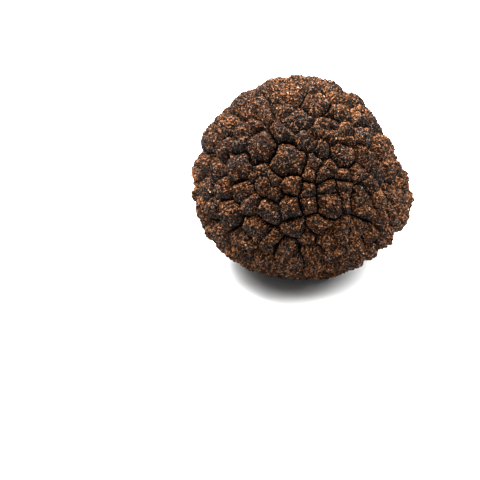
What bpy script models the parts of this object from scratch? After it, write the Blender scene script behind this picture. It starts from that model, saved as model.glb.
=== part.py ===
"""Black truffle: one whole fruiting body, grown as a single piece and lying on a small flat spot.

Metres, +Z up, front towards -Y. The origin is under the middle of the body, on the surface it lies on.

The body is star-shaped: every point of its skin has one distance from MIDDLE. That distance is a
rounded dome on a lower, flatter base, with a few soft swells and hollows, and on it the relief that
makes a truffle: polygonal warts that meet in narrow grooves, gathered into plates of one to five warts
with deeper grooves between the plates.
"""

import math
import random

import bmesh
import bpy
import numpy as np
from mathutils import Vector, noise

MM = 0.001

# The body under its warts, from MIDDLE out to each side.
MIDDLE = Vector((-0.1 * MM, 0.3 * MM, 20.0 * MM))
HALF_WIDTH = 28.7 * MM
HALF_DEPTH = 27.2 * MM
HEIGHT_ABOVE = 32.1 * MM
DEPTH_BELOW = 20.6 * MM
MEAN_RADIUS = 28.0 * MM

# Soft swells (+) and hollows (-): longitude, latitude and spread in degrees, then share of the radius.
# Longitude 0 is the front and 90 is +X; latitude 90 is the crown.
SWELLS = (
    (109, 30, 26, -0.100),
    (-103, 21, 32, 0.046),
    (95, -8, 18, 0.054),
    (80, -35, 18, -0.036),
    (175, 5, 30, -0.030),
    (-150, 45, 26, 0.030),
    (-40, -20, 24, 0.020),
)

# The plates of the front and crown: longitude and latitude of each wart in degrees, and its width in mm.
PLATES = (
    ((-14, 47, 9.5),),
    ((-49, 36, 7.5),),
    ((-38, 49, 8.0),),
    ((-10, 69, 7.0), (-37, 74, 6.5), (-22, 60, 6.0)),
    ((23, 78, 7.5),),
    ((-58, 81, 7.0), (-130, 84, 6.0), (137, 85, 5.0)),
    ((42, 70, 5.5), (61, 67, 4.0)),
    ((12, 63, 4.0), (29, 65, 5.0), (25, 58, 4.0), (41, 59, 4.0), (37, 53, 3.0)),
    ((-2, 58, 4.5), (5, 55, 3.0), (14, 52, 4.5)),
    ((30, 47, 6.5),),
    ((7, 47, 4.0), (2, 40, 4.5)),
    ((13, 39, 4.0), (20, 43, 3.5), (26, 37, 4.0)),
    ((37, 36, 5.0), (51, 32, 4.5), (43, 28, 4.5), (46, 40, 5.0)),
    ((-32, 39, 4.0), (-35, 34, 3.0), (-22, 37, 4.0), (-28, 31, 5.0), (-19, 27, 3.5)),
    ((-10, 33, 5.0),),
    ((2, 31, 4.5), (2, 24, 4.5)),
    ((15, 31, 5.0), (15, 23, 6.5)),
    ((25, 31, 3.5), (26, 25, 4.0)),
    ((-40, 25, 5.5), (-34, 20, 4.0)),
    ((-22, 18, 6.0), (-10, 21, 6.0)),
    ((35, 23, 5.5), (37, 14, 5.0), (49, 15, 4.0), (49, 4, 4.0), (58, 16, 4.0)),
    ((-56, 46, 4.0), (-67, 39, 4.0), (-66, 51, 4.0), (-57, 58, 4.0)),
)
REST_WART = (0, -90, 9.0)

# The other warts: how many there are, their widths, and the spacing of their plates.
FILL_SEED = 27
FILL_WARTS = 215
FILL_TRIES = 40
FILL_WIDTH = (4.0, 6.5)
FILL_PLATES = 70

# The relief. A plate swells up from its borders over PLATE_SWELL_REACH. A groove's shoulder is how far
# its rounded edge reaches into the wart beside it. Inside its shoulders a wart is a low pyramid, as high
# as WART_PEAK, whose faces flatten towards the top. Grooves round warts narrower than FULL_WART are
# shallower and tighter in proportion.
PLATE_SWELL = 1.5 * MM
PLATE_SWELL_REACH = 5.0 * MM
PLATE_GROOVE = 1.6 * MM
PLATE_SHOULDER = 1.2 * MM
WART_GROOVE = 1.0 * MM
WART_SHOULDER = 0.9 * MM
WART_PEAK = 1.3 * MM
PEAK_SLOPE = 1.5
WART_LIFT = 0.25 * MM
FULL_WART = 5.5 * MM
NEIGHBOURS = 9

# The grooves wander from straight lines by up to this much, in bends of this length.
WANDER = 0.9 * MM
WANDER_LENGTH = 4.0 * MM
WANDER_SEED = 11

# The mesh: a sphere of 81,920 triangles takes the relief and is thinned to this share of them.
SPHERE_STEPS = 7
KEPT_SHARE = 0.128

SKIN_COLOUR = (0.034, 0.022, 0.016, 1.0)


def direction(longitude, latitude):
    """Unit vector at a longitude and latitude in degrees."""
    around, up = math.radians(longitude), math.radians(latitude)
    flat = math.cos(up)
    return np.array((math.sin(around) * flat, -math.cos(around) * flat, math.sin(up)))


def random_direction(draw):
    """Unit vector drawn evenly over the sphere."""
    height = draw.uniform(-1, 1)
    around = draw.uniform(-math.pi, math.pi)
    flat = math.sqrt(1 - height * height)
    return np.array((math.cos(around) * flat, math.sin(around) * flat, height))


def round_edge(inward):
    """A quarter circle's height: 0 at a border, upright there, and level at 1 from a shoulder inwards."""
    return np.sqrt(1 - (1 - np.clip(inward, 0, 1)) ** 2)


def body_radius(aims):
    """Distance from MIDDLE to the body under its warts, along each unit vector."""
    upright = np.where(aims[:, 2] > 0, HEIGHT_ABOVE, DEPTH_BELOW)
    ellipsoid = (aims[:, 0] / HALF_WIDTH) ** 2 + (aims[:, 1] / HALF_DEPTH) ** 2 + (aims[:, 2] / upright) ** 2
    swelling = np.ones(len(aims))
    for longitude, latitude, spread, share in SWELLS:
        away = np.arccos(np.clip(aims @ direction(longitude, latitude), -1, 1))
        swelling += share * np.exp(-((away / math.radians(spread)) ** 2))
    return swelling / np.sqrt(ellipsoid)


def place_warts():
    """Unit vector, width and plate of every wart: those chosen by hand, then fill in the widest gaps."""
    seats, widths, plates = [], [], []
    for plate, warts in enumerate((*PLATES, (REST_WART,))):
        for longitude, latitude, width in warts:
            seats.append(direction(longitude, latitude))
            widths.append(width * MM)
            plates.append(plate)
    draw = random.Random(FILL_SEED)
    middles = [random_direction(draw) for _ in range(FILL_PLATES)]
    for _ in range(FILL_WARTS):
        width = draw.uniform(*FILL_WIDTH) * MM
        tries = [random_direction(draw) for _ in range(FILL_TRIES)]
        taken, reach = np.array(seats), np.array(widths) / 2
        room = [np.min(np.linalg.norm(taken - seat, axis=1) * MEAN_RADIUS - reach) for seat in tries]
        seat = tries[int(np.argmax(room))]
        seats.append(seat)
        widths.append(width)
        plates.append(len(PLATES) + 1 + int(np.argmax([seat @ middle for middle in middles])))
    return np.array(seats), np.array(widths), np.array(plates)


def relief(aims):
    """Height of the skin over the body along each unit vector."""
    seats, widths, plates = place_warts()
    draw = random.Random(FILL_SEED + 1)
    lifts = np.array([draw.uniform(-WART_LIFT, WART_LIFT) for _ in widths])

    scale = MEAN_RADIUS / WANDER_LENGTH
    noise.seed_set(WANDER_SEED)
    wander = np.array([noise.noise_vector(Vector(aim) * scale) for aim in aims])
    bent = aims + wander * (WANDER / MEAN_RADIUS)
    bent /= np.linalg.norm(bent, axis=1)[:, None]

    # A wider wart pushes its borders away: the seats' squared distances are lessened by their widths'.
    power = 2 - 2 * bent @ seats.T - (widths / 2 / MEAN_RADIUS) ** 2
    near = np.argsort(power, axis=1)[:, :NEIGHBOURS]
    rows = np.arange(len(aims))
    own = near[:, 0]

    groove = np.zeros(len(aims))
    rise = np.ones(len(aims))
    swell = np.ones(len(aims))
    inward = np.ones(len(aims))
    for other in near[:, 1:].T:
        span = np.linalg.norm(seats[own] - seats[other], axis=1)
        border = (power[rows, other] - power[rows, own]) / (2 * span) * MEAN_RADIUS
        together = plates[own] == plates[other]
        tight = np.minimum(np.minimum(widths[own], widths[other]) / FULL_WART, 1)
        depth = np.where(together, WART_GROOVE, PLATE_GROOVE) * tight
        shoulder = np.where(together, WART_SHOULDER, PLATE_SHOULDER) * tight
        edge = round_edge(border / shoulder)
        groove = np.maximum(groove, depth * (1 - edge))
        rise = np.minimum(rise, edge)
        inward = np.minimum(inward, border / (widths[own] / 2))
        swell = np.where(together, swell, np.minimum(swell, round_edge(border / PLATE_SWELL_REACH)))

    peak = 1 - (1 - inward) ** PEAK_SLOPE
    return (lifts[own] + WART_PEAK * peak) * rise + PLATE_SWELL * (swell - 1) - groove


def make_material():
    """Matt charcoal brown."""
    material = bpy.data.materials.new("truffle_skin")
    material.diffuse_color = SKIN_COLOUR
    material.use_nodes = True
    shader = material.node_tree.nodes["Principled BSDF"]
    shader.inputs["Base Color"].default_value = SKIN_COLOUR
    shader.inputs["Roughness"].default_value = 0.8
    shader.inputs["Metallic"].default_value = 0.0
    return material


def raise_skin(mesh):
    """Fill the mesh with a fine sphere and push each of its points out to the warty skin."""
    sphere = bmesh.new()
    bmesh.ops.create_icosphere(sphere, subdivisions=SPHERE_STEPS, radius=1.0)
    sphere.to_mesh(mesh)
    sphere.free()
    aims = np.zeros(len(mesh.vertices) * 3)
    mesh.vertices.foreach_get("co", aims)
    aims = aims.reshape(-1, 3)
    aims /= np.linalg.norm(aims, axis=1)[:, None]
    radius = body_radius(aims) + relief(aims)
    mesh.vertices.foreach_set("co", (np.array(MIDDLE) + aims * radius[:, None]).ravel())
    mesh.update()


def thin(truffle):
    """Thin the fine mesh, which keeps more points where the grooves are."""
    fewer = truffle.modifiers.new("Fewer triangles", "DECIMATE")
    fewer.ratio = KEPT_SHARE
    fewer.use_collapse_triangulate = True
    ready = truffle.evaluated_get(bpy.context.evaluated_depsgraph_get())
    thinned = bpy.data.meshes.new_from_object(ready)
    truffle.modifiers.clear()
    truffle.data = thinned


def flatten_underside(mesh):
    """Cut the underside off at the surface that the truffle lies on."""
    body = bmesh.new()
    body.from_mesh(mesh)
    everything = body.verts[:] + body.edges[:] + body.faces[:]
    bmesh.ops.bisect_plane(
        body, geom=everything, dist=1e-7, plane_co=(0, 0, 0), plane_no=(0, 0, -1), clear_outer=True
    )
    rims = [edge for edge in body.edges if edge.is_boundary]
    cap = bmesh.ops.contextual_create(body, geom=rims)["faces"]
    bmesh.ops.triangulate(body, faces=cap)
    bmesh.ops.recalc_face_normals(body, faces=body.faces[:])
    body.to_mesh(mesh)
    body.free()


def main():
    for item in list(bpy.data.objects):
        bpy.data.objects.remove(item, do_unlink=True)
    parts = bpy.data.collections.new("black truffle")
    bpy.context.scene.collection.children.link(parts)

    mesh = bpy.data.meshes.new("truffle")
    raise_skin(mesh)
    truffle = bpy.data.objects.new("truffle", mesh)
    parts.objects.link(truffle)
    bpy.context.view_layer.update()
    thin(truffle)
    flatten_underside(truffle.data)
    truffle.data.shade_smooth()
    truffle.data.materials.append(make_material())
    print("triangles", sum(len(face.vertices) - 2 for face in truffle.data.polygons))


main()
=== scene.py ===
# %% [markdown]
# # A black truffle
# A truffle is the fruiting body of a fungus that grows underground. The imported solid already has
# its size, its rounded dome, and the warts and plates of its rind, but with few triangles. This
# script raises a much finer rind with the same shape, gives it the finish of the real one, and
# sets up a plain studio round it. It begins with the solid, which nothing here moves.

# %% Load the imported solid
import math
import random

import bpy
import numpy as np
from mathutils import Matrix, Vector, noise


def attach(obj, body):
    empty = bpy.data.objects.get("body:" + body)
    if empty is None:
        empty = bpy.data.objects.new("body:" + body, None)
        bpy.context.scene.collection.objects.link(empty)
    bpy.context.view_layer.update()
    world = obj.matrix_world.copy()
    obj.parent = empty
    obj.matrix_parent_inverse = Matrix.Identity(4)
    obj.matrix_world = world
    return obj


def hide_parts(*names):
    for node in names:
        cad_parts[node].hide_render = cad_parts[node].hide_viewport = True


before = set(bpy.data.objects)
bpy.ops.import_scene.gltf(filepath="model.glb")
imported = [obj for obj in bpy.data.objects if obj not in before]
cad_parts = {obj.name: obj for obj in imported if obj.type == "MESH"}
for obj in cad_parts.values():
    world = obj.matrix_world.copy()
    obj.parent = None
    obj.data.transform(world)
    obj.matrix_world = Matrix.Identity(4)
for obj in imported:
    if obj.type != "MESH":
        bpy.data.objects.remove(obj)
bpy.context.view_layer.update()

MM = 0.001

# %% [markdown]
# ## Camera
# A long lens from about 30 degrees above the table shows the crown and the front together, with
# hardly any distortion. The camera turns towards a point below and to the left of the truffle, so
# the truffle sits up and to the right in the picture, with room in front of it.

# %% Camera
CAMERA_RISE = math.radians(30)
CAMERA_DISTANCE = 550 * MM
SENSOR_WIDTH = 36
VIEW_WIDTH = 131 * MM
AIM_LEFT = 17.2 * MM
AIM_BELOW = 12.3 * MM
BODY_MIDDLE_HEIGHT = 20 * MM

view_direction = Vector((0, math.cos(CAMERA_RISE), -math.sin(CAMERA_RISE)))
view_up = Vector((0, math.sin(CAMERA_RISE), math.cos(CAMERA_RISE)))
aim = Vector((-AIM_LEFT, 0, BODY_MIDDLE_HEIGHT)) - view_up * AIM_BELOW

bpy.ops.object.camera_add(location=aim - view_direction * CAMERA_DISTANCE)
camera = bpy.context.object
camera.name = "camera"
camera.rotation_euler = view_direction.to_track_quat("-Z", "Y").to_euler()
camera.data.sensor_width = SENSOR_WIDTH
camera.data.lens = SENSOR_WIDTH * CAMERA_DISTANCE / VIEW_WIDTH
bpy.context.scene.camera = camera
print("lens", round(camera.data.lens), "mm")

# %% [markdown]
# ## Floor and room
# A white sweep shows a dark, matt thing best. The room is white to the camera but dim as a light,
# so a low view has a white background and the warts still have a light and a dark side. The floor
# is small enough for the lamps to light it up to its edge, and the Standard view keeps it white.

# %% Floor and room
FLOOR_SIZE = 1.6
FLOOR_COLOUR = (0.6, 0.6, 0.6, 1)
FLOOR_ROUGHNESS = 0.9
ROOM_COLOUR = (1, 1, 1, 1)
ROOM_LIGHT = 0.36
ROOM_WHITE = 1.0

bpy.ops.mesh.primitive_plane_add(size=FLOOR_SIZE)
floor = bpy.context.object
floor.name = "floor"
paint = bpy.data.materials.new("white sweep")
paint.use_nodes = True
sweep_shader = paint.node_tree.nodes["Principled BSDF"]
sweep_shader.inputs["Base Color"].default_value = FLOOR_COLOUR
sweep_shader.inputs["Roughness"].default_value = FLOOR_ROUGHNESS
floor.data.materials.append(paint)

world = bpy.data.worlds.new("white room")
world.use_nodes = True
room = world.node_tree
background = room.nodes["Background"]
background.inputs["Color"].default_value = ROOM_COLOUR
seen = room.nodes.new("ShaderNodeLightPath")
level = room.nodes.new("ShaderNodeMapRange")
level.inputs["To Min"].default_value = ROOM_LIGHT
level.inputs["To Max"].default_value = ROOM_WHITE
room.links.new(seen.outputs["Is Camera Ray"], level.inputs["Value"])
room.links.new(level.outputs["Result"], background.inputs["Strength"])
bpy.context.scene.world = world
bpy.context.scene.view_settings.view_transform = "Standard"
print("room light", ROOM_LIGHT, "and", ROOM_WHITE, "to the camera")

# %% [markdown]
# ## Lamps
# A very wide softbox overhead and a little behind gives most of the light, so the shadow is only a
# soft grey patch where the truffle touches the floor. A small one from the upper left draws the
# warts and their cracks, and one from the right lifts the shade on that side.

# %% Lamps
# Each softbox: its place and its size in metres, then its power in watts.
SOFTBOXES = {
    "overhead softbox": ((-0.06, 0.35, 1.00), 2.40, 125.0),
    "key softbox": ((-0.24, 0.16, 0.52), 0.35, 17.0),
    "fill softbox": ((0.42, 0.05, 0.40), 0.40, 9.0),
}

for name, (spot, size, watts) in SOFTBOXES.items():
    bpy.ops.object.light_add(type="AREA", location=spot)
    softbox = bpy.context.object
    softbox.name = name
    softbox.data.size = size
    softbox.data.energy = watts
    towards = Vector((0, 0, BODY_MIDDLE_HEIGHT)) - softbox.location
    softbox.rotation_euler = towards.to_track_quat("-Z", "Y").to_euler()
print("lamps", list(SOFTBOXES))

# %% [markdown]
# ## The body under the rind
# The truffle swelled in the soil around whatever stones and roots were there, so it is a rounded
# lump with a fuller crown, a flatter base and a few soft hollows. Every point of it lies at one
# distance from a middle, so the form can be written as a distance for each direction: a stretched
# sphere, then a share more or less of its radius in each swell or hollow. The same numbers shaped
# the solid.

# %% Body
MIDDLE = np.array((-0.1 * MM, 0.3 * MM, BODY_MIDDLE_HEIGHT))
HALF_WIDTH = 28.7 * MM
HALF_DEPTH = 27.2 * MM
HEIGHT_ABOVE = 32.1 * MM
DEPTH_BELOW = 20.6 * MM
MEAN_RADIUS = 28.0 * MM

# Longitude, latitude and spread in degrees, then the share of the radius. Longitude 0 is the front.
SWELLS = (
    (109, 30, 26, -0.100),
    (-103, 21, 32, 0.046),
    (95, -8, 18, 0.054),
    (80, -35, 18, -0.036),
    (175, 5, 30, -0.030),
    (-150, 45, 26, 0.030),
    (-40, -20, 24, 0.020),
)


def direction(longitude, latitude):
    """Unit vector at a longitude and latitude in degrees."""
    around, up = math.radians(longitude), math.radians(latitude)
    flat = math.cos(up)
    return np.array((math.sin(around) * flat, -math.cos(around) * flat, math.sin(up)))


def body_radius(aims):
    """Distance from the middle to the body under its warts, along each unit vector."""
    upright = np.where(aims[:, 2] > 0, HEIGHT_ABOVE, DEPTH_BELOW)
    across, along = aims[:, 0] / HALF_WIDTH, aims[:, 1] / HALF_DEPTH
    ellipsoid = across ** 2 + along ** 2 + (aims[:, 2] / upright) ** 2
    swelling = np.ones(len(aims))
    for longitude, latitude, spread, share in SWELLS:
        away = np.arccos(np.clip(aims @ direction(longitude, latitude), -1, 1))
        swelling += share * np.exp(-((away / math.radians(spread)) ** 2))
    return swelling / np.sqrt(ellipsoid)


print("body", len(SWELLS), "swells and hollows")

# %% [markdown]
# ## Warts and plates
# The rind splits as the truffle swells, into flat-sided warts of 3 to 9 mm. Some splits are old and
# deep: they bound plates, each with one to five warts. A map of nearest seats (a Voronoi map) draws
# such a pattern by itself, and a seat with a larger width pushes its borders outwards. The warts
# that give the front and crown their look are listed one by one.

# %% Warts listed one by one
# One line is one plate: longitude and latitude of each wart in degrees, and its width in mm.
PLATES = (
    ((-14, 47, 9.5),),
    ((-49, 36, 7.5),),
    ((-38, 49, 8.0),),
    ((-10, 69, 7.0), (-37, 74, 6.5), (-22, 60, 6.0)),
    ((23, 78, 7.5),),
    ((-58, 81, 7.0), (-130, 84, 6.0), (137, 85, 5.0)),
    ((42, 70, 5.5), (61, 67, 4.0)),
    ((12, 63, 4.0), (29, 65, 5.0), (25, 58, 4.0), (41, 59, 4.0), (37, 53, 3.0)),
    ((-2, 58, 4.5), (5, 55, 3.0), (14, 52, 4.5)),
    ((30, 47, 6.5),),
    ((7, 47, 4.0), (2, 40, 4.5)),
    ((13, 39, 4.0), (20, 43, 3.5), (26, 37, 4.0)),
    ((37, 36, 5.0), (51, 32, 4.5), (43, 28, 4.5), (46, 40, 5.0)),
    ((-32, 39, 4.0), (-35, 34, 3.0), (-22, 37, 4.0), (-28, 31, 5.0), (-19, 27, 3.5)),
    ((-10, 33, 5.0),),
    ((2, 31, 4.5), (2, 24, 4.5)),
    ((15, 31, 5.0), (15, 23, 6.5)),
    ((25, 31, 3.5), (26, 25, 4.0)),
    ((-40, 25, 5.5), (-34, 20, 4.0)),
    ((-22, 18, 6.0), (-10, 21, 6.0)),
    ((35, 23, 5.5), (37, 14, 5.0), (49, 15, 4.0), (49, 4, 4.0), (58, 16, 4.0)),
    ((-56, 46, 4.0), (-67, 39, 4.0), (-66, 51, 4.0), (-57, 58, 4.0)),
)
REST_WART = (0, -90, 9.0)
print(sum(len(warts) for warts in PLATES), "warts placed by hand, and one underneath")

# %% [markdown]
# ## The other warts
# The rest are too many to place one by one. Each gets the best of several random seats: the one
# with the most room round it. Its plate is the nearest of a scatter of plate middles. The draws
# come from fixed seeds, so the same warts grow every time, here and in the solid.

# %% The other warts
FILL_SEED = 27
FILL_WARTS = 215
FILL_TRIES = 40
FILL_WIDTH = (4.0, 6.5)
FILL_PLATES = 70


def random_direction(draw):
    """Unit vector drawn evenly over the sphere."""
    height = draw.uniform(-1, 1)
    around = draw.uniform(-math.pi, math.pi)
    flat = math.sqrt(1 - height * height)
    return np.array((math.cos(around) * flat, math.sin(around) * flat, height))


def place_warts():
    """Unit vector, width and plate of every wart: those listed, then the others."""
    seats, widths, plates = [], [], []
    for plate, warts in enumerate((*PLATES, (REST_WART,))):
        for longitude, latitude, width in warts:
            seats.append(direction(longitude, latitude))
            widths.append(width * MM)
            plates.append(plate)
    draw = random.Random(FILL_SEED)
    middles = [random_direction(draw) for _ in range(FILL_PLATES)]
    for _ in range(FILL_WARTS):
        width = draw.uniform(*FILL_WIDTH) * MM
        tries = [random_direction(draw) for _ in range(FILL_TRIES)]
        taken, reach = np.array(seats), np.array(widths) / 2
        gaps = [np.linalg.norm(taken - seat, axis=1) * MEAN_RADIUS - reach for seat in tries]
        seat = tries[int(np.argmax([np.min(gap) for gap in gaps]))]
        seats.append(seat)
        widths.append(width)
        plates.append(len(PLATES) + 1 + int(np.argmax([seat @ middle for middle in middles])))
    return np.array(seats), np.array(widths), np.array(plates)


SEATS, WIDTHS, SEAT_PLATES = place_warts()
tone_draw = random.Random(FILL_SEED + 2)
WART_TONES = np.array([tone_draw.uniform(-1, 1) for _ in WIDTHS])
print(len(SEATS), "warts in", len(set(SEAT_PLATES)), "plates")

# %% [markdown]
# ## How a groove falls
# Each wart is a low pyramid: its flat sides rise from its borders and flatten towards the top. Its
# edge rounds over into a thin crack, upright at the bottom, and a quarter circle has that section.
# The deepest groove beside a point decides its height, and the plates swell as a whole over a
# longer reach, so the eye reads the plates first and the warts next. The solid has the same relief.

# %% Relief of the warts
PLATE_SWELL = 1.5 * MM
PLATE_SWELL_REACH = 5.0 * MM
PLATE_GROOVE = 1.6 * MM
PLATE_SHOULDER = 1.2 * MM
WART_GROOVE = 1.0 * MM
WART_SHOULDER = 0.9 * MM
WART_PEAK = 1.3 * MM
PEAK_SLOPE = 1.5
WART_LIFT = 0.25 * MM
FULL_WART = 5.5 * MM
NEIGHBOURS = 9


def round_edge(inward):
    """A quarter circle's height: 0 at a border, upright there, level at 1 from a shoulder on."""
    return np.sqrt(1 - (1 - np.clip(inward, 0, 1)) ** 2)


def wart_relief(bent):
    """Height of the warts along each direction, how deep its groove is, and whose wart it is."""
    draw = random.Random(FILL_SEED + 1)
    lifts = np.array([draw.uniform(-WART_LIFT, WART_LIFT) for _ in WIDTHS])
    # A wider wart pushes its borders away: its squared distances are lessened by its width's.
    power = 2 - 2 * bent @ SEATS.T - (WIDTHS / 2 / MEAN_RADIUS) ** 2
    near = np.argpartition(power, NEIGHBOURS, axis=1)[:, :NEIGHBOURS]
    order = np.argsort(np.take_along_axis(power, near, axis=1), axis=1)
    near = np.take_along_axis(near, order, axis=1)
    rows = np.arange(len(bent))
    own = near[:, 0]

    groove = np.zeros(len(bent))
    rise = np.ones(len(bent))
    swell = np.ones(len(bent))
    inward = np.ones(len(bent))
    for other in near[:, 1:].T:
        span = np.linalg.norm(SEATS[own] - SEATS[other], axis=1)
        border = (power[rows, other] - power[rows, own]) / (2 * span) * MEAN_RADIUS
        together = SEAT_PLATES[own] == SEAT_PLATES[other]
        tight = np.minimum(np.minimum(WIDTHS[own], WIDTHS[other]) / FULL_WART, 1)
        depth = np.where(together, WART_GROOVE, PLATE_GROOVE) * tight
        shoulder = np.where(together, WART_SHOULDER, PLATE_SHOULDER) * tight
        edge = round_edge(border / shoulder)
        groove = np.maximum(groove, depth * (1 - edge))
        rise = np.minimum(rise, edge)
        inward = np.minimum(inward, border / (WIDTHS[own] / 2))
        plate_edge = np.minimum(swell, round_edge(border / PLATE_SWELL_REACH))
        swell = np.where(together, swell, plate_edge)

    peak = 1 - (1 - inward) ** PEAK_SLOPE
    height = (lifts[own] + WART_PEAK * peak) * rise + PLATE_SWELL * (swell - 1) - groove
    return height, groove, own


print("grooves", PLATE_GROOVE / MM, "mm round plates,", WART_GROOVE / MM, "mm round warts")

# %% [markdown]
# ## Lobes
# Close up, no wart is smooth. Creases run in from its edge, so it is a cluster of lobes about 2 mm
# wide: one on top, with a ring of them round it, or two rings on a wide wart. Each wart gets its
# own small map of nearest seats, so the creases stop at the wart's border and leave its outline
# knobbly.

# %% Lobes
# A ring's radius is a share of its wart's width. Its lobes stray a little from even places.
LOBE_WIDTH = 1.9 * MM
LOBE_RINGS = (0.20, 0.40)
SMALL_WART = 5.0 * MM
SMALL_WART_RINGS = (0.34,)
FEWEST_LOBES = 4
LOBE_SIDEWAYS = 0.28
LOBE_OUTWARDS = (0.85, 1.15)
LOBE_CREASE = 0.60 * MM
LOBE_SHOULDER = 0.70 * MM
LOBE_LIFT = 0.20 * MM
LOBE_NEIGHBOURS = 4
LOBE_SEED = 41

# No wart points along this, so every wart's sideways directions can be found from it.
SIDE_AXIS = (0.31, 0.17, 0.94)


def wart_lobes(seat, width, draw):
    """Unit vectors of one wart's lobes: one on top, then rings of them out towards its edge."""
    across = np.cross(seat, SIDE_AXIS)
    across /= np.linalg.norm(across)
    along = np.cross(seat, across)
    lobes = [seat]
    rings = LOBE_RINGS if width > SMALL_WART else SMALL_WART_RINGS
    for share in rings:
        radius = share * width
        count = max(FEWEST_LOBES, round(2 * math.pi * radius / LOBE_WIDTH))
        start = draw.uniform(0, 2 * math.pi)
        for step in range(count):
            sideways = draw.uniform(-LOBE_SIDEWAYS, LOBE_SIDEWAYS)
            turn = start + 2 * math.pi * (step + sideways) / count
            reach = radius * draw.uniform(*LOBE_OUTWARDS) / MEAN_RADIUS
            lobes.append(seat + (across * math.cos(turn) + along * math.sin(turn)) * reach)
    return np.array([lobe / np.linalg.norm(lobe) for lobe in lobes])


def lobe_relief(bent, own):
    """Height of the lobes along each direction, its nearness to a crease, and its lobe's tone."""
    draw = random.Random(LOBE_SEED)
    height, crease, tone = np.zeros(len(bent)), np.zeros(len(bent)), np.zeros(len(bent))
    for wart, seat in enumerate(SEATS):
        lobes = wart_lobes(seat, WIDTHS[wart], draw)
        lifts = np.array([draw.uniform(-1, 1) for _ in lobes])
        inside = np.flatnonzero(own == wart)
        if not len(inside):
            continue
        squares = 2 - 2 * bent[inside] @ lobes.T
        order = np.argsort(squares, axis=1)[:, :LOBE_NEIGHBOURS]
        rows = np.arange(len(inside))
        first = order[:, 0]
        deepest = np.zeros(len(inside))
        rise = np.ones(len(inside))
        for other in order[:, 1:].T:
            span = np.linalg.norm(lobes[first] - lobes[other], axis=1)
            border = (squares[rows, other] - squares[rows, first]) / (2 * span) * MEAN_RADIUS
            edge = round_edge(border / LOBE_SHOULDER)
            deepest = np.maximum(deepest, 1 - edge)
            rise = np.minimum(rise, edge)
        height[inside] = lifts[first] * LOBE_LIFT * rise - LOBE_CREASE * deepest
        crease[inside] = deepest
        tone[inside] = lifts[first]
    return height, crease, tone


print("lobes", LOBE_WIDTH / MM, "mm wide, creases", LOBE_CREASE / MM, "mm deep")

# %% [markdown]
# ## Grains
# The very surface is granular, like dry crumbs pressed together. Grains about a millimetre wide
# are the cells of a noise that is a map of nearest points too. Each has its own height, from the
# fraction of a large number made of its place, which is as good as a random draw.

# %% Grains
GRAIN_WIDTH = 1.0 * MM
GRAIN_PIT = 0.45 * MM
GRAIN_SHOULDER = 0.34
GRAIN_LIFT = 0.14 * MM
GRAIN_SCRAMBLE = (12.9, 78.2, 37.7)
GRAIN_SCRAMBLE_SCALE = 4375.85


def grain_relief(aims):
    """Height of the grains along each unit vector, and how near it is to a pit between them."""
    scale = MEAN_RADIUS / GRAIN_WIDTH
    cells = [noise.voronoi(Vector(aim) * scale) for aim in aims]
    near = np.array([distances[:2] for distances, _ in cells])
    first = np.array([nearest[0] for _, nearest in cells])
    second = np.array([nearest[1] for _, nearest in cells])
    span = np.linalg.norm(first - second, axis=1)
    border = (near[:, 1] ** 2 - near[:, 0] ** 2) / (2 * span)
    pit = 1 - round_edge(border / GRAIN_SHOULDER)
    scrambled = np.abs(np.sin(first @ GRAIN_SCRAMBLE)) * GRAIN_SCRAMBLE_SCALE
    lift = np.modf(scrambled)[0] * 2 - 1
    return GRAIN_LIFT * lift * (1 - pit) - GRAIN_PIT * pit, pit


print("grains", GRAIN_WIDTH / MM, "mm wide, pits", GRAIN_PIT / MM, "mm deep")

# %% [markdown]
# ## The rind as one formula
# The grooves wander from straight lines, and the lobes and grains wander again in finer bends, so
# no border looks ruled. The rind's distance is then the body's plus the heights of the warts, the
# lobes and the grains. The streaks of its finish run from each wart's middle to its edge. For that,
# each point gets a second place, which turns fast round the wart's middle and hardly moves on the
# way out, so that a plain noise at that place comes out as streaks.

# %% The rind as one formula
WANDER = 0.9 * MM
WANDER_LENGTH = 4.0 * MM
WANDER_SEED = 11
FINE_WANDER = 0.22 * MM
FINE_WANDER_LENGTH = 1.1 * MM
FIBRE_TURN = 2.2 * MM
FIBRE_STRETCH = 0.25
NEARLY_ZERO = 1e-9


def wandered(aims, length, amount):
    """The unit vectors, each turned a little by a smooth noise with bends of that length."""
    scale = MEAN_RADIUS / length
    noise.seed_set(WANDER_SEED)
    shift = np.array([noise.noise_vector(Vector(aim) * scale) for aim in aims])
    bent = aims + shift * (amount / MEAN_RADIUS)
    return bent / np.linalg.norm(bent, axis=1)[:, None]


def fibre_place(bent, own):
    """A place for each point whose noise comes out as streaks from a wart's middle outwards."""
    middle = SEATS[own] * MEAN_RADIUS
    away = (bent - SEATS[own]) * MEAN_RADIUS
    reach = np.maximum(np.linalg.norm(away, axis=1)[:, None], NEARLY_ZERO)
    return away / reach * FIBRE_TURN + away * FIBRE_STRETCH + middle


def rind(aims):
    """Distance of the rind along each unit vector, marks for its finish, and streak places."""
    bent = wandered(aims, WANDER_LENGTH, WANDER)
    warts, groove, own = wart_relief(bent)
    fine = wandered(bent, FINE_WANDER_LENGTH, FINE_WANDER)
    lobes, crease, lobe_tone = lobe_relief(fine, own)
    grains, pit = grain_relief(fine)
    radius = body_radius(aims) + warts + lobes + grains
    marks = {
        "groove": groove / PLATE_GROOVE,
        "crease": crease,
        "pit": pit,
        "wart_tone": WART_TONES[own],
        "lobe_tone": lobe_tone,
    }
    return radius, marks, fibre_place(bent, own)


print("bends", WANDER_LENGTH / MM, "and", FINE_WANDER_LENGTH / MM, "mm long")

# %% [markdown]
# ## From a sphere to the rind
# An ico sphere has even triangles with no poles, so it takes relief equally well all over. Each of
# its points is pushed out along its own direction, the underside is pressed flat where the truffle
# lies, and a Decimate modifier then spends fewer triangles on smooth places than in the grooves.

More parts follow.
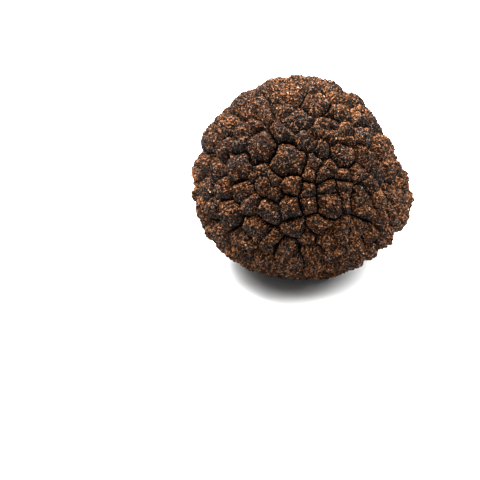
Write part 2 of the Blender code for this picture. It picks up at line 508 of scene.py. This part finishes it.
# %% The rind
SPHERE_STEPS = 8
KEPT_SHARE = 0.6


def read_points(mesh):
    """The mesh's points as rows of x, y and z."""
    flat = np.zeros(len(mesh.vertices) * 3)
    mesh.vertices.foreach_get("co", flat)
    return flat.reshape(-1, 3)


bpy.ops.object.select_all(action="DESELECT")
bpy.ops.mesh.primitive_ico_sphere_add(subdivisions=SPHERE_STEPS, radius=1, location=(0, 0, 0))
skin = bpy.context.object
skin.name = "truffle_rind"
ball = read_points(skin.data)
ball /= np.linalg.norm(ball, axis=1)[:, None]
reach, _, _ = rind(ball)
points = MIDDLE + ball * reach[:, None]
points[:, 2] = np.maximum(points[:, 2], 0)
skin.data.vertices.foreach_set("co", points.ravel())
skin.data.update()

thin = skin.modifiers.new("Thin", "DECIMATE")
thin.ratio = KEPT_SHARE
bpy.ops.object.modifier_apply(modifier=thin.name)
bpy.ops.object.shade_smooth()
print(len(skin.data.polygons), "triangles")

# %% [markdown]
# ## Marks for the finish
# The finish depends on where a point lies: in a groove, in a crease, on which wart. The formula that
# shaped the rind knows that, so it is asked again for the thinned mesh, and its answers are kept as
# attributes, which the finish reads and which stay with the surface from every side. One more mark
# says how far a wart's or a lobe's side leans up and to the upper left, the side the light comes
# from, compared with the body under it. The finish paints those sides lighter, which is painted
# light, and rustier, which is partly the soil that settles on sides that look up and partly painted
# light.

# %% Marks
# Up and to the upper left, the side the light comes from: sides that lean this way get painted light
# and more rust.
SOIL_AND_LIGHT_SIDE = (-0.40, -0.15, 0.90)

points = read_points(skin.data)
towards = points - MIDDLE
towards /= np.linalg.norm(towards, axis=1)[:, None]
_, marks, fibres = rind(towards)
normals = np.zeros(len(points) * 3)
skin.data.vertices.foreach_get("normal", normals)
normals = normals.reshape(-1, 3)
upright = (normals * towards).sum(axis=1)
marks["soil_and_light_facing"] = (normals - towards * upright[:, None]) @ np.array(SOIL_AND_LIGHT_SIDE)

for name, values in marks.items():
    mark = skin.data.attributes.new(name, "FLOAT", "POINT")
    mark.data.foreach_set("value", values.astype(np.float32))
mark = skin.data.attributes.new("fibres", "FLOAT_VECTOR", "POINT")
mark.data.foreach_set("vector", fibres.ravel().astype(np.float32))
print("marks", {name: round(float(values.mean()), 2) for name, values in marks.items()})

# %% [markdown]
# ## Shader maths
# A finish is mostly arithmetic on numbers that vary over the surface. Number wraps a node's output
# so that + - * add the Math nodes, and Finish adds every other node through one method, which sets
# the node's own settings first and its inputs next.

# %% Shader maths
class Number:
    """A node's output that can be used in sums."""

    def __init__(self, finish, output):
        self.finish = finish
        self.output = output

    def sum(self, operation, first, second):
        return self.finish.add("ShaderNodeMath", {"operation": operation}, {0: first, 1: second})

    def __add__(self, other):
        return self.sum("ADD", self, other)

    def __radd__(self, other):
        return self.sum("ADD", other, self)

    def __sub__(self, other):
        return self.sum("SUBTRACT", self, other)

    def __rsub__(self, other):
        return self.sum("SUBTRACT", other, self)

    def __mul__(self, other):
        return self.sum("MULTIPLY", self, other)

    def __rmul__(self, other):
        return self.sum("MULTIPLY", other, self)


class Finish:
    """A material that is built node by node."""

    def __init__(self, name):
        self.material = bpy.data.materials.new(name)
        self.material.use_nodes = True
        self.tree = self.material.node_tree
        self.shader = self.tree.nodes["Principled BSDF"]

    def feed(self, socket, value):
        """Link an output to a socket, or set its value."""
        if isinstance(value, Number):
            self.tree.links.new(value.output, socket)
        else:
            socket.default_value = value

    def add(self, kind, settings, inputs, result=0):
        """Add a node of any kind and return one of its outputs."""
        node = self.tree.nodes.new(kind)
        for name, value in settings.items():
            setattr(node, name, value)
        for name, value in inputs.items():
            self.feed(node.inputs[name], value)
        return Number(self, node.outputs[result])

    def mark(self, name, result="Fac"):
        """A number that the mesh carries, or a place with the result Vector."""
        return self.add("ShaderNodeAttribute", {"attribute_name": name}, {}, result)

    def noise(self, place, size, detail=2, roughness=0.5):
        """Soft noise of about 0 to 1 with spots of that size."""
        inputs = {"Vector": place, "Scale": 1 / size, "Detail": detail, "Roughness": roughness}
        return self.add("ShaderNodeTexNoise", {}, inputs, "Fac")

    def cells(self, place, size, result="Distance"):
        """Small cells of that size: the distance from each one's middle, or its own colour."""
        return self.add("ShaderNodeTexVoronoi", {}, {"Vector": place, "Scale": 1 / size}, result)

    def ramp(self, value, low, high):
        """0 at low and 1 at high, with a smooth rise between; low may be the larger."""
        inputs = {"Value": value, "From Min": low, "From Max": high}
        return self.add("ShaderNodeMapRange", {"interpolation_type": "SMOOTHSTEP"}, inputs)

    def blend(self, share, under, over):
        """The colour under, covered by the colour over to that share."""
        return self.add("ShaderNodeMix", {"data_type": "RGBA"}, {0: share, 6: under, 7: over}, 2)


print("shader maths ready")

# %% [markdown]
# ## Patterns of the rind
# A real rind varies at every scale at once, so its finish starts from patterns of many sizes:
# blotches and patches of some millimetres, flecks, fine streaks along the fibres, granules with
# tiny pits between them, and thin threads, which lie where a smooth noise passes its middle value.
# One shoulder, near the crown, is a little more stained than the rest.

# %% Patterns of the rind
BLOTCH = 9 * MM
PATCH = 2.4 * MM
FLECK = 0.8 * MM
CRUMB = 0.30 * MM
STREAK = 0.34 * MM
STRAND = 0.50 * MM
VEIN = 1.2 * MM
VEIN_MIDDLE = 0.5
THREAD = (0.0014, 0.0001)
GRANULE = 0.56 * MM
SHOULDER = Vector((-12, -12, 44)) * MM
STAIN_REACH = (30 * MM, 8 * MM)

rind_finish = Finish("truffle rind")
place = rind_finish.add("ShaderNodeTexCoord", {}, {}, "Object")
fibre = rind_finish.mark("fibres", "Vector")
groove = rind_finish.mark("groove")
soil_and_light_facing = rind_finish.mark("soil_and_light_facing")
crease = rind_finish.mark("crease")
pit = rind_finish.mark("pit")
wart_tone = rind_finish.mark("wart_tone")
lobe_tone = rind_finish.mark("lobe_tone")

blotches = rind_finish.noise(place, BLOTCH)
patches = rind_finish.noise(place, PATCH, 3, 0.6)
flecks = rind_finish.noise(place, FLECK, 3, 0.7)
crumbs = rind_finish.noise(place, CRUMB, 2, 0.7)
streaks = rind_finish.noise(fibre, STREAK, 2, 0.6)
strands = rind_finish.noise(fibre, STRAND, 2, 0.6)
vein = rind_finish.noise(place, VEIN) - VEIN_MIDDLE
threads = rind_finish.ramp(vein * vein, *THREAD)
granule = rind_finish.cells(place, GRANULE)
granule_tone = rind_finish.cells(place, GRANULE, "Color")
away = rind_finish.add(
    "ShaderNodeVectorMath", {"operation": "DISTANCE"}, {0: place, 1: SHOULDER}, "Value"
)
stained = rind_finish.ramp(away, *STAIN_REACH)
print("patterns", len(rind_finish.tree.nodes), "nodes")

# %% [markdown]
# ## Colours of the rind
# A black truffle is not black all over. The rind is a dull charcoal grey, and rust-brown shows
# wherever the skin is thin or still holds the soil it grew in. There is more of it on the sides that
# lean up and to the upper left, which is partly that soil and partly painted light. Both have a dark
# and a light tone. One sum of patterns decides how light a point is, and it paints those same sides
# lighter as painted light. Another sum decides how rusty a point is, and the number beside each
# pattern is its weight. A few crumbs of pale grit stay stuck, and the pits, creases and grooves are
# painted almost black as painted shade. Each is a layer over the one before.

# %% Colours of the rind
DARK_GREY = (0.0095, 0.0075, 0.0067, 1)
LIGHT_GREY = (0.150, 0.106, 0.084, 1)
DARK_RUST = (0.0220, 0.0076, 0.0025, 1)
LIGHT_RUST = (0.243, 0.103, 0.045, 1)
PALE_GRIT = (0.550, 0.420, 0.300, 1)
# Painted shade: the near-black that the pits, creases and grooves are painted with.
CRACK_SHADE = (0.0018, 0.0008, 0.0003, 1)
PIT_SHADE_SHARE = 0.85

# Where each sum starts to count, and where it counts in full.
LIGHT = (0.80, 1.13)
RUST = (0.91, 1.14)
GRIT = (1.27, 1.32)
PIT_SHADE_RANGE = (0.20, 0.42)
SHADED = (0.34, 0.70)

# The last term is painted light: sides that lean up and to the upper left, towards the light, come
# out lighter.
light = rind_finish.ramp(
    streaks * 0.7 + crumbs * 0.42 + granule_tone * 0.2 + threads * 0.22 + lobe_tone * 0.04
    + patches * 0.15 + blotches * 0.1 + soil_and_light_facing * 0.12, *LIGHT
)
# Sides that lean up and to the upper left come out rustier: partly the soil that settles on sides
# that look up, partly painted light.
rusty = rind_finish.ramp(
    strands * 0.4 + flecks * 0.8 + patches * 0.9 + blotches * 0.4 + soil_and_light_facing * 0.26 + stained * 0.02
    + threads * 0.14 + wart_tone * 0.05 - crumbs * 0.4 - granule_tone * 0.1, *RUST
)
dark = rind_finish.blend(rusty, DARK_GREY, DARK_RUST)
bright = rind_finish.blend(rusty, LIGHT_GREY, LIGHT_RUST)
colour = rind_finish.blend(light, dark, bright)
gritty = rind_finish.ramp(granule_tone + patches * 0.6, *GRIT)
colour = rind_finish.blend(gritty, colour, PALE_GRIT)
# Painted shade: the tiny pits between the granules are painted almost black.
pit_shade = rind_finish.ramp(granule - streaks * 0.5, *PIT_SHADE_RANGE)
colour = rind_finish.blend(pit_shade * PIT_SHADE_SHARE, colour, CRACK_SHADE)
# Painted shade: the grooves, creases and pits are painted almost black, the grooves most of all.
shaded = rind_finish.ramp(groove * 1.2 + crease * 0.45 + pit * 0.25, *SHADED)
colour = rind_finish.blend(shaded, colour, CRACK_SHADE)
print("colours", len(rind_finish.tree.nodes), "nodes")

# %% [markdown]
# ## Surface of the rind
# The rind is dry and corky, so it is rough and hardly shines. Bump adds what is too fine for the
# mesh: crumbs and flecks that stand up, and granules that fall off towards their pits.

# %% Surface of the rind
ROUGHNESS = 0.62
SHINE = 0.03
BUMP_STRENGTH = 1.0
BUMP_DEPTH = 1.0 * MM

height = crumbs * 0.3 + flecks * 0.5 - granule * 0.6
bump = rind_finish.add(
    "ShaderNodeBump", {},
    {"Strength": BUMP_STRENGTH, "Distance": BUMP_DEPTH, "Height": height}, "Normal"
)
shader = rind_finish.shader
rind_finish.feed(shader.inputs["Base Color"], colour)
rind_finish.feed(shader.inputs["Roughness"], ROUGHNESS + flecks * 0.3)
rind_finish.feed(shader.inputs["Normal"], bump)
shader.inputs["Specular IOR Level"].default_value = SHINE
skin.data.materials.append(rind_finish.material)
print("finish", len(rind_finish.tree.nodes), "nodes")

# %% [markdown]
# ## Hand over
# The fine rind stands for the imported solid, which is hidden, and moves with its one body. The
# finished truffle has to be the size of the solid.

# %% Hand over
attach(skin, "root")
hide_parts("truffle")
